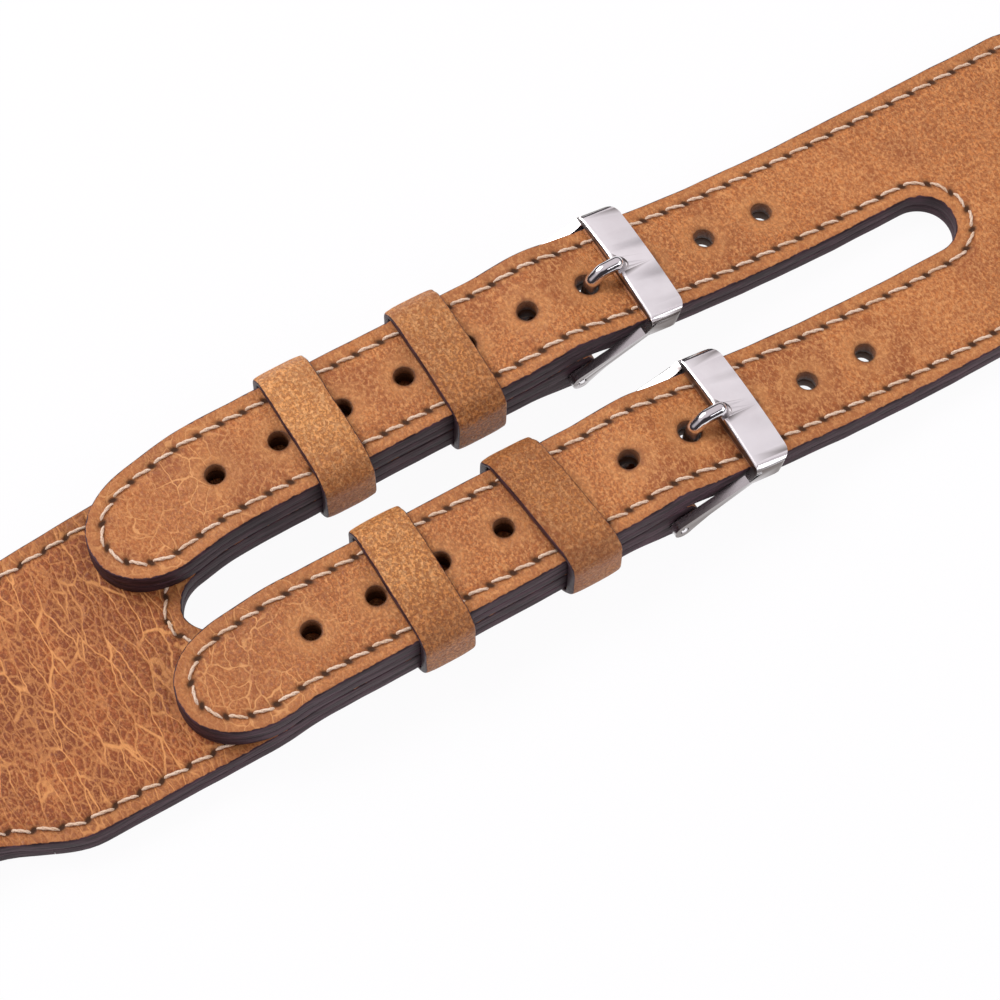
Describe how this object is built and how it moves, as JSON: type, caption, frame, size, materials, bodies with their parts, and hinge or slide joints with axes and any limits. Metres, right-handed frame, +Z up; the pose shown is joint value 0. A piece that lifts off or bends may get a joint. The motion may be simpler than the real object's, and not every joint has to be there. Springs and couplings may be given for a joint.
{
  "type": "watch strap",
  "caption": "Twin strap leather watch band: slotted halves buckled together by pin buckles, with punched tails, leather keepers and sprung bars at the watch ends.",
  "frame": {"origin": "centre of the band's length and width, on the surface it lies on", "axes": "+X along the band towards the long half's watch end, +Y across the band towards the far strap, +Z up out of the face leather"},
  "size_m": [0.15, 0.0336, 0.0088],
  "materials": {
    "face_leather": "waxed, crackled tan leather with dark painted edges",
    "lining_leather": "smooth undyed lining leather",
    "keeper_leather": "waxed tan leather with dark painted edges",
    "buckle_steel": "satin face with polished edges",
    "tongue_steel": "polished steel wire",
    "bar_steel": "drawn and turned stainless steel",
    "spring_steel": "bright spring wire"
  },
  "bodies": {
    "band": {"short_top_leather": "face_leather", "long_top_leather": "face_leather", "short_lining": "lining_leather", "long_lining": "lining_leather", "far_fixed_keeper": "keeper_leather", "near_fixed_keeper": "keeper_leather"},
    "far_frame": {"far_buckle_frame": "buckle_steel"},
    "far_tongue": {"far_buckle_tongue": "tongue_steel"},
    "far_bar": {"far_bar_tube": "bar_steel", "far_bar_spring": "spring_steel"},
    "far_outer_tip": {"far_bar_outer_tip": "bar_steel"},
    "far_inner_tip": {"far_bar_inner_tip": "bar_steel"},
    "far_keeper": {"far_sliding_keeper": "keeper_leather"},
    "near_frame": {"near_buckle_frame": "buckle_steel"},
    "near_tongue": {"near_buckle_tongue": "tongue_steel"},
    "near_bar": {"near_bar_tube": "bar_steel", "near_bar_spring": "spring_steel"},
    "near_outer_tip": {"near_bar_outer_tip": "bar_steel"},
    "near_inner_tip": {"near_bar_inner_tip": "bar_steel"},
    "near_keeper": {"near_sliding_keeper": "keeper_leather"},
    "short_lug_bar": {"short_lug_bar_tube": "bar_steel", "short_lug_bar_spring": "spring_steel"},
    "short_lug_bar_far_tip": {"short_lug_bar_far_tip": "bar_steel"},
    "short_lug_bar_near_tip": {"short_lug_bar_near_tip": "bar_steel"},
    "long_lug_bar": {"long_lug_bar_tube": "bar_steel", "long_lug_bar_spring": "spring_steel"},
    "long_lug_bar_far_tip": {"long_lug_bar_far_tip": "bar_steel"},
    "long_lug_bar_near_tip": {"long_lug_bar_near_tip": "bar_steel"}
  },
  "joints": [
    {"name": "far_frame_swing", "type": "hinge", "parent": "band", "child": "far_frame", "pos_m": [0.0023, 0.00932, 0.0026], "axis": [0, -1, 0], "range_deg": [0, 4]},
    {"name": "far_tongue_swing", "type": "hinge", "parent": "far_frame", "child": "far_tongue", "pos_m": [0.0023, 0.00932, 0.0026], "axis": [0, -1, 0], "range_deg": [0, 4]},
    {"name": "far_bar_spin", "type": "hinge", "parent": "far_frame", "child": "far_bar", "pos_m": [0.0023, 0.00932, 0.0026], "axis": [0, 1, 0], "continuous": true},
    {"name": "far_outer_tip_slide", "type": "slide", "parent": "far_bar", "child": "far_outer_tip", "axis": [0, -1, 0], "range_m": [0, 0.00115], "stiffness_N_per_m": 400, "springref_m": -0.0015, "deforming": ["far_bar_spring"]},
    {"name": "far_inner_tip_slide", "type": "slide", "parent": "far_bar", "child": "far_inner_tip", "axis": [0, 1, 0], "range_m": [0, 0.00115], "stiffness_N_per_m": 400, "springref_m": -0.0015, "deforming": ["far_bar_spring"]},
    {"name": "far_keeper_slide", "type": "slide", "parent": "band", "child": "far_keeper", "axis": [1, 0, 0], "range_m": [-0.0085, 0.0088]},
    {"name": "near_frame_swing", "type": "hinge", "parent": "band", "child": "near_frame", "pos_m": [0.0023, -0.00932, 0.0026], "axis": [0, -1, 0], "range_deg": [0, 4]},
    {"name": "near_tongue_swing", "type": "hinge", "parent": "near_frame", "child": "near_tongue", "pos_m": [0.0023, -0.00932, 0.0026], "axis": [0, -1, 0], "range_deg": [0, 4]},
    {"name": "near_bar_spin", "type": "hinge", "parent": "near_frame", "child": "near_bar", "pos_m": [0.0023, -0.00932, 0.0026], "axis": [0, 1, 0], "continuous": true},
    {"name": "near_outer_tip_slide", "type": "slide", "parent": "near_bar", "child": "near_outer_tip", "axis": [0, 1, 0], "range_m": [0, 0.00115], "stiffness_N_per_m": 400, "springref_m": -0.0015, "deforming": ["near_bar_spring"]},
    {"name": "near_inner_tip_slide", "type": "slide", "parent": "near_bar", "child": "near_inner_tip", "axis": [0, -1, 0], "range_m": [0, 0.00115], "stiffness_N_per_m": 400, "springref_m": -0.0015, "deforming": ["near_bar_spring"]},
    {"name": "near_keeper_slide", "type": "slide", "parent": "band", "child": "near_keeper", "axis": [1, 0, 0], "range_m": [-0.0085, 0.0088]},
    {"name": "short_lug_bar_spin", "type": "hinge", "parent": "band", "child": "short_lug_bar", "pos_m": [-0.0727, 0, 0.0023], "axis": [0, 1, 0], "continuous": true},
    {"name": "short_lug_bar_far_tip_slide", "type": "slide", "parent": "short_lug_bar", "child": "short_lug_bar_far_tip", "axis": [0, -1, 0], "range_m": [0, 0.0011], "stiffness_N_per_m": 400, "springref_m": -0.0015, "deforming": ["short_lug_bar_spring"]},
    {"name": "short_lug_bar_near_tip_slide", "type": "slide", "parent": "short_lug_bar", "child": "short_lug_bar_near_tip", "axis": [0, 1, 0], "range_m": [0, 0.0011], "stiffness_N_per_m": 400, "springref_m": -0.0015, "deforming": ["short_lug_bar_spring"]},
    {"name": "long_lug_bar_spin", "type": "hinge", "parent": "band", "child": "long_lug_bar", "pos_m": [0.0727, 0, 0.0023], "axis": [0, 1, 0], "continuous": true},
    {"name": "long_lug_bar_far_tip_slide", "type": "slide", "parent": "long_lug_bar", "child": "long_lug_bar_far_tip", "axis": [0, -1, 0], "range_m": [0, 0.0011], "stiffness_N_per_m": 400, "springref_m": -0.0015, "deforming": ["long_lug_bar_spring"]},
    {"name": "long_lug_bar_near_tip_slide", "type": "slide", "parent": "long_lug_bar", "child": "long_lug_bar_near_tip", "axis": [0, 1, 0], "range_m": [0, 0.0011], "stiffness_N_per_m": 400, "springref_m": -0.0015, "deforming": ["long_lug_bar_spring"]}
  ]
}
